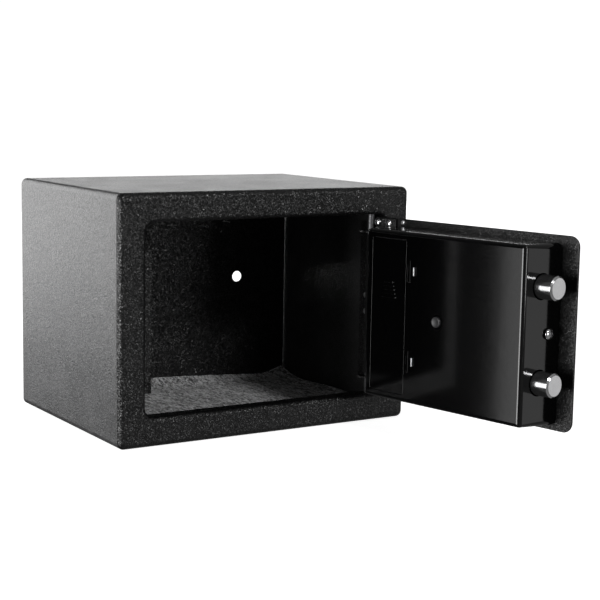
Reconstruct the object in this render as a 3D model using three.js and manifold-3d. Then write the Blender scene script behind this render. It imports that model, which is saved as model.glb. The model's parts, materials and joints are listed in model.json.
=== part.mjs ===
// Small steel safe with a keypad lock, door standing open. Millimetres, +Z up.
// Origin: centre of the case's bottom face. X runs along the front, Y towards the back, and the
// closed door's outer face lies in the front plane. Door pieces are modelled in the door's own
// frame, whose origin is the hinge axis: u runs from the hinge to the free edge and w from the
// hinge axis into the case. There local x = -u and local y = w.

import * as THREE from "three";
import { mergeVertices } from "three/addons/utils/BufferGeometryUtils.js";
import Module from "manifold-3d";

const wasm = await Module();
wasm.setup();

// ---------------------------------------------------------------- driving dimensions
const CASE = { width: 230, depth: 170, height: 170, wall: 1.5, corner: 4.5 };
const FRAME = { sheet: 2, roll: 4, flange: 4.5, lip: 3, shortReturn: 12, longReturn: 32 };
const MOUTH = { halfWidth: 95.5, bottom: 20, top: 150.5, corner: 7 };
const ANCHOR = { x: 68.5, z: 87.5, radius: 4.35 };
const HINGE = { x: 86.5, y: -79, pinRadius: 2.5, openAngle: 101 };
const PLATE = { hingeEdge: -7.5, freeEdge: 181, bottom: 21, top: 149, w0: -6, w1: -3, corner: 7, roll: 2.5 };
const COVER = { u0: 24.5, u1: 168.4, z0: 24.4, z1: 144, depth: 31.6, draft: 2.5, lift: 2.9, edge: 3 };
const COVER_WALL = 2;
const BOLT = { radius: 8, w: 15, z: [54.8, 117.1], tail: 138.8, tip: 180.2, chamfer: 1.5 };
const KNOB = { u: 122, z: 86, radius: 17, shaft: 4, throwRadius: 14.14, restAngle: 9 };
const KEYLOCK = { u: 109, z: 56, body: 8, plug: 5 };
const BATTERY = { u0: 33, u1: 65, z0: 32, z1: 139, cellRadius: 7.1, cellLength: 49.5 };
const RESET = { u: 93.3, z: 86.4, cap: 3.7 };
const KEYPAD = { u: 61, z: 86, width: 54, height: 78, front: -11, pitchU: 15, pitchZ: 15.5, key: [12, 11] };
const MAT = { halfWidth: 111.2, front: -78, back: 83, thickness: 3, curlFrom: 60, curl: 5 };
const GAP = 0.3; // between pieces that touch
const CLEAR = 0.4; // round pieces that move in a hole

const DOOR_MIDDLE = (PLATE.bottom + PLATE.top) / 2;
const FRONT = -CASE.depth / 2;
const BACK = CASE.depth / 2;
const BACK_OF_PLATE = FRONT + FRAME.sheet;

// ---------------------------------------------------------------- materials
const material = (color, roughness, metalness) =>
  new THREE.MeshStandardMaterial({ color, roughness, metalness });
const greyPaint = material(0x8c8d8f, 0.45, 0.2);
const blackPaint = material(0x1c1c1e, 0.55, 0.2);
const blackGloss = material(0x0b0b0c, 0.12, 0);
const blackPlastic = material(0x17171a, 0.4, 0);
const chrome = material(0xd6d8da, 0.15, 1);
const steel = material(0x9a9da0, 0.35, 1);
const brass = material(0xb59a55, 0.3, 1);
const felt = material(0x6f7173, 0.95, 0);
const boardGreen = material(0x1f5b34, 0.5, 0);
const keyGrey = material(0xc9cbcd, 0.5, 0);
const cellSkin = material(0x2d4f7c, 0.35, 0.3);
const redPlastic = material(0xa01818, 0.4, 0);

// ---------------------------------------------------------------- solids
function closedMesh(geometry) {
  const bare = geometry.clone();
  bare.deleteAttribute("normal");
  bare.deleteAttribute("uv");
  return mergeVertices(bare, 1e-3);
}

// A geometry as a manifold solid, with its faces turned out if its outline ran the other way.
function solid(geometry) {
  const merged = closedMesh(geometry);
  const triVerts = new Uint32Array(merged.index.array);
  const vertProperties = new Float32Array(merged.attributes.position.array);
  const made = new wasm.Manifold(new wasm.Mesh({ numProp: 3, vertProperties, triVerts }));
  if (made.volume() > 0) return made;
  for (let i = 0; i < triVerts.length; i += 3) {
    [triVerts[i + 1], triVerts[i + 2]] = [triVerts[i + 2], triVerts[i + 1]];
  }
  return new wasm.Manifold(new wasm.Mesh({ numProp: 3, vertProperties, triVerts }));
}

function geometryOf(made) {
  const { vertProperties, triVerts } = made.getMesh();
  const geometry = new THREE.BufferGeometry();
  geometry.setAttribute("position", new THREE.BufferAttribute(vertProperties, 3));
  geometry.setIndex(new THREE.BufferAttribute(triVerts, 1));
  geometry.computeVertexNormals();
  return geometry;
}

const join = (...parts) => geometryOf(parts.map(solid).reduce((all, next) => all.add(next)));
const cut = (part, ...tools) =>
  geometryOf(tools.map(solid).reduce((left, tool) => left.subtract(tool), solid(part)));

// A box between two opposite corners.
function box([x0, y0, z0], [x1, y1, z1]) {
  const made = new THREE.BoxGeometry(x1 - x0, y1 - y0, z1 - z0);
  return made.translate((x0 + x1) / 2, (y0 + y1) / 2, (z0 + z1) / 2);
}

// A box in the door's frame, between two values each of u, w and z.
const doorBox = (u0, u1, w0, w1, z0, z1) => box([-u1, w0, z0], [-u0, w1, z1]);

// A turned solid from [radius, height] pairs, its axis along y.
function turned(profile, sides = 24) {
  return new THREE.LatheGeometry(profile.map(([r, h]) => new THREE.Vector2(r, h)), sides);
}
const rod = (radius, from, to, sides = 24) =>
  turned([[0, from], [radius, from], [radius, to], [0, to]], sides);

// A turned solid or rod laid along y at (x, z), along x at (y, z), or along z at (x, y).
const alongY = (made, x, z) => made.translate(x, 0, z);
const alongX = (made, y, z) => made.rotateZ(-Math.PI / 2).translate(0, y, z);
const alongZ = (made, x, y) => made.rotateX(Math.PI / 2).translate(x, y, 0);
// A turned solid whose heights are values of u, at (w, z) on the door.
const alongU = (made, w, z) => made.rotateZ(Math.PI / 2).translate(0, w, z);

// An outline in the XZ plane made solid between two values of y.
function slab(shape, y0, y1, curveSegments = 6) {
  const made = new THREE.ExtrudeGeometry(shape, { depth: y1 - y0, bevelEnabled: false, curveSegments });
  return made.rotateX(Math.PI / 2).translate(0, y1, 0);
}

// Points of a rounded rectangle in the plane at y, drawn in by inset, its upper edge raised by lift.
function ring({ x0, x1, z0, z1, corner }, { y, inset, lift = 0 }, steps) {
  const r = Math.max(corner - inset, 0.2);
  const centres = [
    [x1 - inset - r, z1 + lift - inset - r],
    [x0 + inset + r, z1 + lift - inset - r],
    [x0 + inset + r, z0 + inset + r],
    [x1 - inset - r, z0 + inset + r],
  ];
  return centres.flatMap(([cx, cz], quarter) =>
    Array.from({ length: steps + 1 }, (_, i) => {
      const a = ((quarter + i / steps) * Math.PI) / 2;
      return [cx + r * Math.cos(a), y, cz + r * Math.sin(a)];
    }),
  );
}

// A solid through rounded-rectangle sections of one outline, from the first section to the last.
function loft(outline, sections, steps = 4) {
  const rings = sections.map((section) => ring(outline, section, steps));
  const count = rings[0].length;
  const middle = ({ y }) => [(outline.x0 + outline.x1) / 2, y, (outline.z0 + outline.z1) / 2];
  const points = [...rings.flat(), middle(sections[0]), middle(sections.at(-1))];
  const first = points.length - 2;
  const last = points.length - 1;
  const index = [];
  for (let i = 0; i < count; i++) {
    const j = (i + 1) % count;
    const end = (rings.length - 1) * count;
    index.push(first, i, j, last, end + j, end + i);
    for (let k = 0; k < rings.length - 1; k++) {
      const a = k * count;
      const b = a + count;
      index.push(a + i, b + i, b + j, a + i, b + j, a + j);
    }
  }
  const geometry = new THREE.BufferGeometry();
  geometry.setAttribute("position", new THREE.Float32BufferAttribute(points.flat(), 3));
  geometry.setIndex(index);
  return geometry;
}

// Sections of a quarter-round edge: inset goes from radius to 0 as y leaves y0 in direction dir.
function roundEdge(y0, radius, dir, inset = 0, steps = 3) {
  return Array.from({ length: steps + 1 }, (_, i) => {
    const a = ((i / steps) * Math.PI) / 2;
    return { y: y0 + dir * radius * (1 - Math.cos(a)), inset: inset + radius * (1 - Math.sin(a)) };
  });
}

const outline = (x0, x1, z0, z1, corner) => ({ x0, x1, z0, z1, corner });
const doorOutline = (u0, u1, z0, z1, corner) => outline(-u1, -u0, z0, z1, corner);
const grown = (o, by) => outline(o.x0 - by, o.x1 + by, o.z0 - by, o.z1 + by, o.corner + by);
const prism = (o, y0, y1, steps) => loft(o, [{ y: y0, inset: 0 }, { y: y1, inset: 0 }], steps);
const caseOutline = outline(-CASE.width / 2, CASE.width / 2, 0, CASE.height, CASE.corner);
const mouth = outline(-MOUTH.halfWidth, MOUTH.halfWidth, MOUTH.bottom, MOUTH.top, MOUTH.corner);

// A tube of the given radius through a list of points.
function tube(points, radius, steps) {
  const path = new THREE.CatmullRomCurve3(points.map((p) => new THREE.Vector3(...p)));
  const section = new THREE.Shape();
  section.absarc(0, 0, radius, 0, 2 * Math.PI, false);
  return new THREE.ExtrudeGeometry(section, { steps, curveSegments: 4, extrudePath: path });
}

// ---------------------------------------------------------------- scene graph
const safe = new THREE.Group();
const door = new THREE.Group();
door.position.set(HINGE.x, HINGE.y, 0);
door.rotation.z = THREE.MathUtils.degToRad(HINGE.openAngle);
safe.add(door);

function add(group, name, geometry, look) {
  const mesh = new THREE.Mesh(geometryOf(solid(geometry)), look);
  mesh.name = name;
  group.add(mesh);
}

// ---------------------------------------------------------------- case
// Top, floor and side walls: one sheet folded into a tube from front to back.
function caseShell() {
  const tubeOutside = prism(caseOutline, FRONT + FRAME.flange + GAP, BACK);
  return cut(tubeOutside, prism(grown(caseOutline, -CASE.wall), FRONT, BACK + 1));
}

function backPanel() {
  const plate = prism(grown(caseOutline, -CASE.wall - GAP), BACK - CASE.wall, BACK);
  const hole = (x) => alongY(rod(ANCHOR.radius, BACK - 3, BACK + 3), x, ANCHOR.z);
  return cut(plate, hole(ANCHOR.x), hole(-ANCHOR.x));
}

// The front plate, rolled back at its outer edge and turned in round the mouth.
function frontFrame() {
  const pan = loft(caseOutline, [
    ...roundEdge(FRONT, FRAME.roll, 1),
    { y: FRONT + FRAME.flange, inset: 0 },
  ]);
  const hollow = prism(grown(caseOutline, -FRAME.sheet), BACK_OF_PLATE, 0);
  const turnedIn = prism(grown(mouth, FRAME.sheet), BACK_OF_PLATE - 0.5, FRONT + FRAME.shortReturn);
  const flare = roundEdge(FRONT, FRAME.lip, 1).map(({ y, inset }) => ({ y, inset: -inset }));
  const opening = loft(mouth, [
    { y: FRONT - 1, inset: -FRAME.lip },
    ...flare,
    { y: 0, inset: 0 },
  ]);
  const jamb = (side) => {
    const inner = side * MOUTH.halfWidth;
    const outer = side * (MOUTH.halfWidth + FRAME.sheet);
    return box(
      [Math.min(inner, outer), FRONT + FRAME.shortReturn - 1, MOUTH.bottom + MOUTH.corner],
      [Math.max(inner, outer), FRONT + FRAME.longReturn, MOUTH.top - MOUTH.corner],
    );
  };
  const boltHoles = BOLT.z.map((z) => alongX(rod(BOLT.radius + 1, -100, -92), HINGE.y + BOLT.w, z));
  const pinHole = alongZ(rod(HINGE.pinRadius + CLEAR, MOUTH.bottom - 5, MOUTH.top + 5), HINGE.x, HINGE.y);
  const rivetHoles = RIVET.z.map((z) => alongX(rod(RIVET.shank + GAP, 90, 100, 12), RIVET.y, z));
  const body = join(cut(pan, hollow), turnedIn);
  const plate = cut(body, opening);
  return cut(join(plate, jamb(-1), jamb(1)), ...boltHoles, pinHole, ...rivetHoles);
}

// An angle on the side wall behind the bolts, which keeps a tool off them.
const GUARD = { y: -45.5, sheet: 1.5, x: -72.5, z: [28, 128], foot: 18.5 };
function boltGuard() {
  const wall = -CASE.width / 2 + CASE.wall + GAP;
  const [z0, z1] = GUARD.z;
  const blade = box([wall, GUARD.y, z0], [GUARD.x, GUARD.y + GUARD.sheet, z1]);
  const foot = box([wall, GUARD.y, z0], [wall + GUARD.sheet, GUARD.y + GUARD.foot, z1]);
  return join(blade, foot);
}

// A bearing block behind the mouth's top or bottom return, for the end of a hinge pin.
const LUG = { halfWidth: 6.5, height: 5 };
function hingeLug(z0) {
  const block = box(
    [HINGE.x - LUG.halfWidth, BACK_OF_PLATE + GAP, z0],
    [HINGE.x + LUG.halfWidth, FRONT + FRAME.shortReturn, z0 + LUG.height],
  );
  return cut(block, alongZ(rod(HINGE.pinRadius + CLEAR, z0 - 1, z0 + LUG.height + 1), HINGE.x, HINGE.y));
}

// A round-headed rivet through the hinge-side jamb.
const RIVET = { y: -61.5, z: [77, 89], head: 2.2, shank: 1.2 };
function jambRivet(z) {
  const face = MOUTH.halfWidth - GAP;
  const profile = [
    [0, face - 1.1],
    [1.2, face - 0.9],
    [RIVET.head, face],
    [RIVET.shank, face],
    [RIVET.shank, face + FRAME.sheet + 2],
    [0, face + FRAME.sheet + 2],
  ];
  return alongX(turned(profile, 12), RIVET.y, z);
}

// A felt mat on the floor of the case, turned up a little where it meets the back.
function floorMat() {
  const floor = CASE.wall + GAP;
  const steps = 6;
  const rise = (y) => MAT.curl * ((y - MAT.curlFrom) / (MAT.back - MAT.curlFrom)) ** 2;
  const under = Array.from({ length: steps + 1 }, (_, i) => {
    const y = MAT.curlFrom + ((MAT.back - MAT.curlFrom) * i) / steps;
    return [y, floor + rise(y)];
  });
  const section = [[MAT.front, floor], ...under].map(([y, z]) => new THREE.Vector2(y, z));
  const top = [...under].reverse().map(([y, z]) => new THREE.Vector2(y, z + MAT.thickness));
  const shape = new THREE.Shape([...section, ...top, new THREE.Vector2(MAT.front, floor + MAT.thickness)]);
  const made = new THREE.ExtrudeGeometry(shape, { depth: 2 * MAT.halfWidth, bevelEnabled: false });
  return made.rotateX(Math.PI / 2).rotateZ(Math.PI / 2).translate(-MAT.halfWidth, 0, 0);
}

add(safe, "case_shell", caseShell(), greyPaint);
add(safe, "back_panel", backPanel(), greyPaint);
add(safe, "front_frame", frontFrame(), blackPaint);
add(safe, "bolt_guard", boltGuard(), blackPaint);
add(safe, "hinge_lug_upper", hingeLug(MOUTH.top + FRAME.sheet + GAP), steel);
add(safe, "hinge_lug_lower", hingeLug(MOUTH.bottom - FRAME.sheet - GAP - LUG.height), steel);
add(safe, "jamb_rivet_lower", jambRivet(RIVET.z[0]), steel);
add(safe, "jamb_rivet_upper", jambRivet(RIVET.z[1]), steel);
add(safe, "floor_mat", floorMat(), felt);

// ---------------------------------------------------------------- door plate and hinge
const BRACKET = { sheet: 1.8, reach: 7, z: 139, top: 148.4, u0: 3.4, u1: 23, screws: [6, 17], screwZ: 145 };
const SCREW = { head: 2.75, shank: 1.4 };
const bracketFace = PLATE.w1 + GAP + BRACKET.sheet;
const upsideDown = (z) => 2 * DOOR_MIDDLE - z;
const slot = { u: 60, z: 86, halfU: 5, halfZ: 2.5 };

function doorPlate() {
  const face = doorOutline(PLATE.hingeEdge, PLATE.freeEdge, PLATE.bottom, PLATE.top, PLATE.corner);
  const plate = loft(face, [...roundEdge(PLATE.w0, PLATE.roll, 1), { y: PLATE.w1, inset: 0 }]);
  const screwHoles = BRACKET.screws.flatMap((u) =>
    [BRACKET.screwZ, upsideDown(BRACKET.screwZ)].map((z) =>
      alongY(rod(SCREW.shank + GAP, PLATE.w1 - 2, PLATE.w1 + 1, 12), -u, z),
    ),
  );
  return cut(
    plate,
    alongY(rod(KNOB.shaft + CLEAR, -10, 0), -KNOB.u, KNOB.z),
    alongY(rod(KEYLOCK.body + GAP, -10, 0), -KEYLOCK.u, KEYLOCK.z),
    doorBox(slot.u - slot.halfU, slot.u + slot.halfU, -10, 0, slot.z - slot.halfZ, slot.z + slot.halfZ),
    ...screwHoles,
  );
}

// An angle bracket on the plate whose shelf holds a hinge pin; the lower one is the upper one upside down.
function hingeBracket(turn) {
  const at = (z0, z1) => [turn(z0), turn(z1)].sort((a, b) => a - b);
  const w0 = PLATE.w1 + GAP;
  const leg = doorBox(BRACKET.u0, BRACKET.u1, w0, bracketFace, ...at(BRACKET.z - 1, BRACKET.top));
  const shelf = doorBox(-5, BRACKET.u1, w0, BRACKET.reach, ...at(BRACKET.z - BRACKET.sheet, BRACKET.z));
  const [low, high] = at(BRACKET.z - 5, BRACKET.z + 5);
  const pinHole = alongZ(rod(HINGE.pinRadius + GAP, low, high), 0, 0);
  const screwHoles = BRACKET.screws.map((u) =>
    alongY(rod(SCREW.shank + GAP, w0 - 1, bracketFace + 1, 12), -u, turn(BRACKET.screwZ)),
  );
  return cut(join(leg, shelf), pinHole, ...screwHoles);
}

function hingePin(turn) {
  const ends = [turn(BRACKET.z - 3.5), turn(MOUTH.top + FRAME.sheet + GAP + 4.5)];
  const [low, high] = ends.sort((a, b) => a - b);
  const r = HINGE.pinRadius;
  const profile = [[0, low], [r - 0.8, low], [r, low + 0.8], [r, high - 0.8], [r - 0.8, high], [0, high]];
  return alongZ(turned(profile, 16), 0, 0);
}

// A domed cross-head screw through a bracket into the plate.
function plateScrew(u, z) {
  const seat = bracketFace + GAP / 2;
  const profile = [
    [0, PLATE.w1 - 1.7],
    [SCREW.shank, PLATE.w1 - 1.7],
    [SCREW.shank, seat],
    [SCREW.head, seat],
    [SCREW.head * 0.9, seat + 0.9],
    [SCREW.head * 0.5, seat + 1.5],
    [0, seat + 1.7],
  ];
  return alongY(turned(profile, 12), -u, z);
}

add(door, "door_plate", doorPlate(), blackPaint);
[["upper", (z) => z], ["lower", upsideDown]].forEach(([place, turn]) => {
  add(door, `hinge_bracket_${place}`, hingeBracket(turn), blackPaint);
  add(door, `hinge_pin_${place}`, hingePin(turn), steel);
  add(door, `hinge_screw_${place}_1`, plateScrew(BRACKET.screws[0], turn(BRACKET.screwZ)), chrome);
  add(door, `hinge_screw_${place}_2`, plateScrew(BRACKET.screws[1], turn(BRACKET.screwZ)), chrome);
});

// ---------------------------------------------------------------- door cover and battery bay
const coverOutline = doorOutline(COVER.u0, COVER.u1, COVER.z0, COVER.z1, 5);
const coverSections = (top, wall, edge) => [
  { y: PLATE.w1 + GAP, inset: wall },
  ...roundEdge(top, edge, -1, COVER.draft + wall)
    .reverse()
    .map((section) => ({ ...section, lift: COVER.lift })),
];
const SIDE_SCREW = { z: 86, w: 8, head: 3.8, shank: 1.4 };
const PULL = { u: 66.2, reach: 8.8, z: [56, 118], halfHeight: 7.5, depth: 1 };

// A half-moon finger recess beside the battery cover.
function fingerPull(z) {
  const shape = new THREE.Shape();
  shape.absellipse(-PULL.u, z, PULL.reach, PULL.halfHeight, Math.PI / 2, (3 * Math.PI) / 2, false);
  return slab(shape, COVER.depth - PULL.depth, COVER.depth + 1, 8);
}

function doorCover() {
  const outside = loft(coverOutline, coverSections(COVER.depth, 0, COVER.edge));
  const inside = loft(coverOutline, [
    { y: PLATE.w1 - 1, inset: COVER_WALL },
    ...coverSections(COVER.depth - COVER_WALL, COVER_WALL, 1).slice(1),
  ]);
  const { u0, u1, z0, z1 } = BATTERY;
  return cut(
    outside,
    inside,
    doorBox(u0, u1, COVER.depth - 5, COVER.depth + 5, z0, z1),
    ...PULL.z.map(fingerPull),
    alongY(rod(RESET.cap + CLEAR, COVER.depth - 5, COVER.depth + 5), -RESET.u, RESET.z),
    ...BOLT.z.map((z) => alongU(rod(BOLT.radius + 0.5, 160, 175), BOLT.w, z)),
    alongU(rod(SIDE_SCREW.shank + CLEAR, 160, 175, 12), SIDE_SCREW.w, SIDE_SCREW.z),
  );
}

// The battery bay's lid, flush with the cover, with a rib along each long edge.
function batteryCover() {
  const { u0, u1, z0, z1 } = BATTERY;
  const top = COVER.depth;
  const lid = doorBox(u0 + CLEAR, u1 - CLEAR, top - 1.8, top, z0 + CLEAR, z1 - CLEAR);
  const grips = Array.from({ length: 5 }, (_, i) =>
    doorBox(42, 56, top - 0.5, top + 0.6, 97 + 2.6 * i, 98.3 + 2.6 * i),
  );
  return join(lid, ...grips);
}

// An open tray under the lid, deep enough for two rows of two cells end to end.
function batteryTray() {
  const { u0, u1, z0, z1 } = BATTERY;
  const wall = 1.3;
  const top = COVER.depth - COVER_WALL - GAP;
  const [u, z] = [[u0 - 0.4, u1 + 0.4], [z0 - 0.4, z1 + 0.4]];
  const outside = doorBox(u[0], u[1], 8.5, top, z[0], z[1]);
  const inside = doorBox(u[0] + wall, u[1] - wall, 8.5 + wall, top + 1, z[0] + wall, z[1] - wall);
  return cut(outside, inside);
}

// One cell with its raised contact; cells in a row point the same way.
function cell(u, z0, up) {
  const r = BATTERY.cellRadius;
  const length = BATTERY.cellLength;
  const profile = [[0, 0], [r, 0], [r, length - 1.5], [2.7, length - 1.5], [2.7, length], [0, length]];
  const made = turned(profile, 20).rotateX(up ? Math.PI / 2 : -Math.PI / 2);
  return made.translate(-u, 17.3, up ? z0 : z0 + length);
}

// A pan-head screw through the cover's free side into the lock case.
function sideScrew() {
  const seat = 168.1;
  const profile = [
    [0, 157.5],
    [SIDE_SCREW.shank, 157.5],
    [SIDE_SCREW.shank, seat],
    [SIDE_SCREW.head, seat],
    [SIDE_SCREW.head * 0.9, seat + 1.2],
    [SIDE_SCREW.head * 0.55, seat + 2],
    [0, seat + 2.2],
  ];
  return alongU(turned(profile, 16), SIDE_SCREW.w, SIDE_SCREW.z);
}

add(door, "door_cover", doorCover(), blackGloss);
add(door, "cover_screw", sideScrew(), chrome);
add(door, "battery_cover", batteryCover(), blackGloss);
add(door, "battery_tray", batteryTray(), blackPlastic);
[41.3, 56.7].forEach((u, column) =>
  [35, 86.5].forEach((z, row) => {
    add(door, `aa_cell_${2 * column + row + 1}`, cell(u, z, column === 0), cellSkin);
  }),
);

// ---------------------------------------------------------------- electronics
const BOARD = { u0: 36, u1: 99, z0: 45, z1: 125, w0: 1.6, w1: 3.2 };

// The control board with its chip, sounder, relay and sockets.
function circuitBoard() {
  const { u0, u1, z0, z1, w0, w1 } = BOARD;
  const board = doorBox(u0, u1, w0, w1, z0, z1);
  const on = w1 - 0.2;
  const chip = doorBox(44, 56, on, w1 + 2, 62, 80);
  const relay = doorBox(80, 96, on, w1 + 10, 98, 112);
  const batterySocket = doorBox(80, 90, on, w1 + 5, 50, 56);
  const lockSocket = doorBox(90, 97, on, w1 + 4, 66, 72);
  const sounder = alongY(rod(6, on, w1 + 6, 20), -75, 115);
  return join(board, chip, relay, batterySocket, lockSocket, sounder);
}

const resetSwitch = () => doorBox(RESET.u - 3, RESET.u + 3, BOARD.w1 + GAP, 6.5, RESET.z - 3, RESET.z + 3);

// The code-set button: a cap in the cover's hole on a stem down to its switch.
function resetButton() {
  const profile = [
    [0, 7.8],
    [2, 7.8],
    [2, 27.5],
    [RESET.cap, 27.5],
    [RESET.cap, COVER.depth + 0.9],
    [RESET.cap - 0.8, COVER.depth + 1.4],
    [0, COVER.depth + 1.4],
  ];
  return alongY(turned(profile, 16), -RESET.u, RESET.z);
}

const keypadRibbon = () =>
  doorBox(slot.u - 4, slot.u + 4, PLATE.w0 - 0.2, BOARD.w0 - GAP, slot.z - 0.5, slot.z + 0.5);
const batteryLead = () =>
  tube([[-66.2, 13, 60], [-70, 12, 59], [-75, 8, 55], [-79.1, 6, 53]], 0.9, 10);
const lockLead = () =>
  tube([[-129.1, 15, 76], [-122, 14.6, 74], [-112, 13.2, 73], [-104, 9, 70.5], [-98.2, 6, 69]], 0.9, 14);

add(door, "circuit_board", circuitBoard(), boardGreen);
add(door, "reset_switch", resetSwitch(), blackPlastic);
add(door, "reset_button", resetButton(), redPlastic);
add(door, "keypad_ribbon", keypadRibbon(), keyGrey);
add(door, "battery_lead", batteryLead(), redPlastic);
add(door, "solenoid_lead", lockLead(), blackPlastic);

// ---------------------------------------------------------------- keypad
const keyHole = { halfU: KEYPAD.key[0] / 2 + CLEAR, halfZ: KEYPAD.key[1] / 2 + CLEAR };
const KEY_ROWS = [["1", "2", "3"], ["4", "5", "6"], ["7", "8", "9"], ["star", "0", "hash"]];
const KEYS = KEY_ROWS.flatMap((row, i) =>
  row.map((name, j) => ({ name, u: KEYPAD.u + KEYPAD.pitchU * (1 - j), z: 108 - KEYPAD.pitchZ * i })),
);
const LAMPS = [
  { colour: "red", u: KEYPAD.u + 8, z: 119.5 },
  { colour: "yellow", u: KEYPAD.u, z: 119.5 },
  { colour: "green", u: KEYPAD.u - 8, z: 119.5 },
];
const LAMP_RADIUS = 1.7;

function keypadPanel() {
  const { u, z, width, height, front } = KEYPAD;
  const face = doorOutline(u - width / 2, u + width / 2, z - height / 2, z + height / 2, 6);
  const panel = loft(face, [...roundEdge(front, 2, 1), { y: PLATE.w0 - GAP, inset: 0 }]);
  const holes = KEYS.map((key) => {
    const { halfU, halfZ } = keyHole;
    const hole = doorOutline(key.u - halfU, key.u + halfU, key.z - halfZ, key.z + halfZ, 2.4);
    return prism(hole, front - 1, PLATE.w0 + 1, 3);
  });
  const lampHole = (lamp) => alongY(rod(LAMP_RADIUS + GAP, front - 1, PLATE.w0 + 1, 12), -lamp.u, lamp.z);
  const lampHoles = LAMPS.map(lampHole);
  return cut(panel, ...holes, ...lampHoles);
}

function keyCap({ u, z }) {
  const [width, height] = KEYPAD.key;
  const face = doorOutline(u - width / 2, u + width / 2, z - height / 2, z + height / 2, 2);
  return loft(face, [...roundEdge(KEYPAD.front - 1.6, 0.8, 1, 0, 2), { y: PLATE.w0 - 1.5, inset: 0 }], 3);
}

function lampLens({ u, z }) {
  const r = LAMP_RADIUS;
  const profile = [
    [0, KEYPAD.front - 0.6],
    [r * 0.7, KEYPAD.front - 0.4],
    [r, KEYPAD.front],
    [r, PLATE.w0 - 0.8],
    [0, PLATE.w0 - 0.8],
  ];
  return alongY(turned(profile, 12), -u, z);
}

const lampLook = { red: redPlastic, yellow: material(0xc9a227, 0.3, 0), green: material(0x2c8a3c, 0.3, 0) };
add(door, "keypad_panel", keypadPanel(), blackPlastic);
KEYS.forEach((key) => add(door, `key_${key.name}`, keyCap(key), keyGrey));
LAMPS.forEach((lamp) => add(door, `lamp_${lamp.colour}`, lampLens(lamp), lampLook[lamp.colour]));

// ---------------------------------------------------------------- bolt work
const CARRIAGE = { w0: 5, w1: 7, tail: 136.5, end: 138.5, cheek: 25 };
const PLUNGER = { u: 136, w: 17.5, radius: 2.5, tip: 91.6 };
const LOCK_CASE = { u0: 118, u1: 160, w: 27.5, z0: 38, z1: 132, sheet: 2 };
const camPin = {
  u: KNOB.u + KNOB.throwRadius * Math.sin(THREE.MathUtils.degToRad(KNOB.restAngle)),
  z: KNOB.z + KNOB.throwRadius * Math.cos(THREE.MathUtils.degToRad(KNOB.restAngle)),
  radius: 2,
};

function bolt(z) {
  const { radius, chamfer, tail, tip } = BOLT;
  const profile = [[0, tail], [radius, tail], [radius, tip - chamfer], [radius - chamfer, tip], [0, tip]];
  return alongU(turned(profile, 32), BOLT.w, z);
}

// A T-shaped plate behind both bolts, with a cheek at each bolt's tail, a slot for the knob's cam
// pin, and the tab that the solenoid's plunger stops when the bolts are thrown.
function boltCarriage() {
  const { w0, w1, tail, end, cheek } = CARRIAGE;
  const [low, high] = BOLT.z;
  const stem = doorBox(130, end, w0, w1, low - 10, high + 10);
  const arm = doorBox(114, end, w0, w1, 84, 107);
  const cheeks = BOLT.z.map((z) => doorBox(tail, end, w0, cheek, z - 9, z + 9));
  const tab = doorBox(PLUNGER.u - PLUNGER.radius - 2.4, PLUNGER.u - PLUNGER.radius - CLEAR, w0, 21, 92, 97);
  const pinSlot = doorBox(camPin.u - 2.6, camPin.u + 2.6, w0 - 1, w1 + 1, 93, 103.5);
  return cut(join(stem, arm, ...cheeks, tab), pinSlot);
}

// The folded steel box that carries the bolts, screwed to the door's plate on its far side.
function lockCase() {
  const { u0, u1, w, z0, z1, sheet } = LOCK_CASE;
  const foot = PLATE.w1 + GAP;
  const lid = doorBox(u0, u1, w - sheet, w, z0, z1);
  const floor = doorBox(u0, u1, foot, w, z0, z0 + sheet);
  const roof = doorBox(u0, u1, foot, w, z1 - sheet, z1);
  const side = doorBox(u1 - sheet, u1, foot, w, z0, z1);
  return cut(
    join(lid, floor, roof, side),
    ...BOLT.z.map((z) => alongU(rod(BOLT.radius + CLEAR, 150, 170), BOLT.w, z)),
    alongU(rod(SIDE_SCREW.shank + GAP, 150, 170, 12), SIDE_SCREW.w, SIDE_SCREW.z),
  );
}

function solenoid() {
  const coil = doorBox(129.5, 142.5, 9.8, LOCK_CASE.w - LOCK_CASE.sheet - GAP, 70, 90);
  return cut(coil, alongZ(rod(PLUNGER.radius + GAP, 65, 95, 16), -PLUNGER.u, PLUNGER.w));
}

function plunger() {
  const { radius, tip } = PLUNGER;
  const profile = [[0, 72], [radius, 72], [radius, tip - 0.6], [radius - 0.6, tip], [0, tip]];
  return alongZ(turned(profile, 16), -PLUNGER.u, PLUNGER.w);
}

// The knob's spindle with its crank and crank pin.
function knobShaft() {
  const spindle = alongY(rod(KNOB.shaft, -24, 3), -KNOB.u, KNOB.z);
  const crank = new THREE.Shape();
  const angle = Math.atan2(camPin.z - KNOB.z, KNOB.u - camPin.u);
  crank.absarc(-KNOB.u, KNOB.z, 6.5, angle + Math.PI / 2, angle + (3 * Math.PI) / 2, false);
  crank.absarc(-camPin.u, camPin.z, 3.5, angle - Math.PI / 2, angle + Math.PI / 2, false);
  const pin = alongY(rod(camPin.radius, 3, 8.5, 16), -camPin.u, camPin.z);
  return join(spindle, slab(crank, 1.5, 4.5, 8), pin);
}

// A round knob with a bar across it to grip.
function knob() {
  const r = KNOB.radius;
  const dish = alongY(turned([[0, -13], [r - 1, -13], [r, -12], [r, -8.6], [0, -8.6]], 32), -KNOB.u, KNOB.z);
  const grip = loft(doorOutline(KNOB.u - 4.5, KNOB.u + 4.5, KNOB.z - 15.5, KNOB.z + 15.5, 4.4), [
    ...roundEdge(-26.5, 1.5, 1),
    { y: -12.5, inset: 0 },
  ]);
  const bore = alongY(rod(KNOB.shaft + GAP, -24.3, 0), -KNOB.u, KNOB.z);
  return cut(join(dish, grip), bore);
}

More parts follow.
